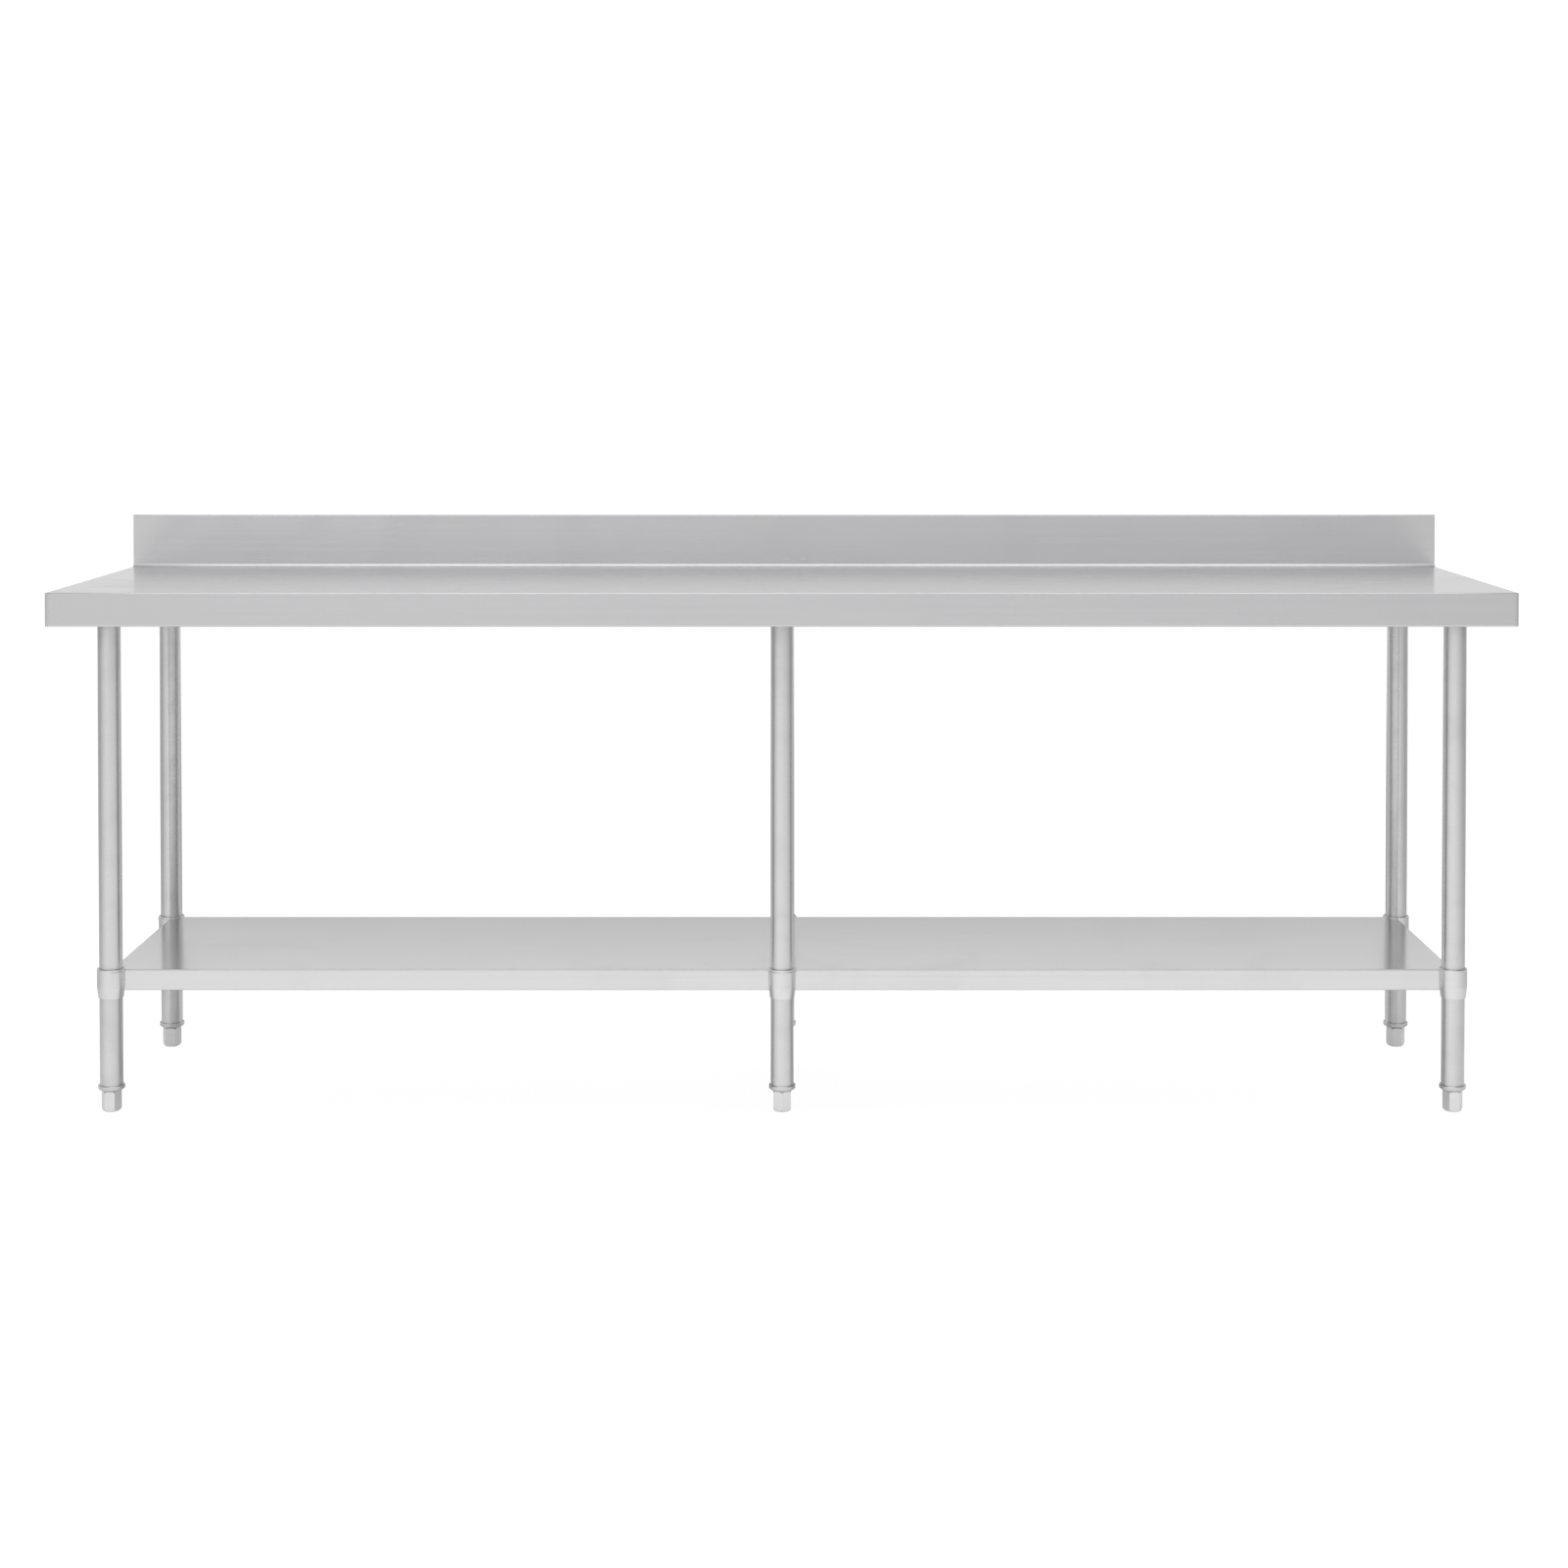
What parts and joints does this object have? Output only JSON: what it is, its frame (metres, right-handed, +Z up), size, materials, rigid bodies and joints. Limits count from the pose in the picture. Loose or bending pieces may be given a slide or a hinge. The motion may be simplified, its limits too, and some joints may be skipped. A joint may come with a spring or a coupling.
{
  "type": "stainless work table",
  "caption": "Long stainless steel preparation table with a rear upstand, round tube legs, a height-adjustable solid undershelf and hexagonal levelling feet.",
  "frame": {"origin": "on the floor, under the middle of the table's outline", "axes": "+X along the table to the right seen from the front, +Y from the front edge to the upstand, +Z up"},
  "size_m": [2.4, 0.6, 0.96],
  "materials": {
    "worktop_steel": "fine brushed, slightly glossy",
    "shelf_steel": "fine brushed, slightly glossy",
    "channel_steel": "mill finish",
    "deadening_rubber": "matt",
    "fixing_steel": "plain",
    "socket_steel": "satin cast",
    "leg_tube": "polished tube",
    "collar_steel": "satin",
    "insert_metal": "satin",
    "foot_metal": "satin"
  },
  "bodies": {
    "frame": {"worktop": "worktop_steel", "rear_apron": "worktop_steel", "upstand_cap_left": "worktop_steel", "upstand_cap_right": "worktop_steel", "cross_channel_left": "channel_steel", "cross_channel_centre": "channel_steel", "cross_channel_right": "channel_steel", "long_channel_left": "channel_steel", "long_channel_right": "channel_steel", "deadening_strips": "deadening_rubber", "weld_studs": "fixing_steel", "stud_washers": "fixing_steel", "stud_nuts": "fixing_steel", "socket_screws": "fixing_steel", "leg_socket_front_left": "socket_steel", "leg_socket_front_centre": "socket_steel", "leg_socket_front_right": "socket_steel", "leg_socket_rear_left": "socket_steel", "leg_socket_rear_centre": "socket_steel", "leg_socket_rear_right": "socket_steel", "leg_front_left": "leg_tube", "leg_front_centre": "leg_tube", "leg_front_right": "leg_tube", "leg_rear_left": "leg_tube", "leg_rear_centre": "leg_tube", "leg_rear_right": "leg_tube", "foot_insert_front_left": "insert_metal", "foot_insert_front_centre": "insert_metal", "foot_insert_front_right": "insert_metal", "foot_insert_rear_left": "insert_metal", "foot_insert_rear_centre": "insert_metal", "foot_insert_rear_right": "insert_metal"},
    "shelf": {"undershelf": "shelf_steel", "shelf_channel": "channel_steel", "collar_screws": "fixing_steel", "shelf_collar_front_left": "collar_steel", "shelf_collar_front_centre": "collar_steel", "shelf_collar_front_right": "collar_steel", "shelf_collar_rear_left": "collar_steel", "shelf_collar_rear_centre": "collar_steel", "shelf_collar_rear_right": "collar_steel"},
    "levelling_foot_front_left": {"foot_front_left": "foot_metal", "foot_stem_front_left": "fixing_steel"},
    "levelling_foot_front_centre": {"foot_front_centre": "foot_metal", "foot_stem_front_centre": "fixing_steel"},
    "levelling_foot_front_right": {"foot_front_right": "foot_metal", "foot_stem_front_right": "fixing_steel"},
    "levelling_foot_rear_left": {"foot_rear_left": "foot_metal", "foot_stem_rear_left": "fixing_steel"},
    "levelling_foot_rear_centre": {"foot_rear_centre": "foot_metal", "foot_stem_rear_centre": "fixing_steel"},
    "levelling_foot_rear_right": {"foot_rear_right": "foot_metal", "foot_stem_rear_right": "fixing_steel"}
  },
  "joints": [
    {"name": "shelf_slide", "type": "slide", "parent": "frame", "child": "shelf", "axis": [0, 0, 1], "range_m": [-0.144, 0.572]},
    {"name": "foot_screw_front_left", "type": "slide", "parent": "frame", "child": "levelling_foot_front_left", "axis": [0, 0, -1], "range_m": [0, 0.035]},
    {"name": "foot_screw_front_centre", "type": "slide", "parent": "frame", "child": "levelling_foot_front_centre", "axis": [0, 0, -1], "range_m": [0, 0.035]},
    {"name": "foot_screw_front_right", "type": "slide", "parent": "frame", "child": "levelling_foot_front_right", "axis": [0, 0, -1], "range_m": [0, 0.035]},
    {"name": "foot_screw_rear_left", "type": "slide", "parent": "frame", "child": "levelling_foot_rear_left", "axis": [0, 0, -1], "range_m": [0, 0.035]},
    {"name": "foot_screw_rear_centre", "type": "slide", "parent": "frame", "child": "levelling_foot_rear_centre", "axis": [0, 0, -1], "range_m": [0, 0.035]},
    {"name": "foot_screw_rear_right", "type": "slide", "parent": "frame", "child": "levelling_foot_rear_right", "axis": [0, 0, -1], "range_m": [0, 0.035]}
  ]
}
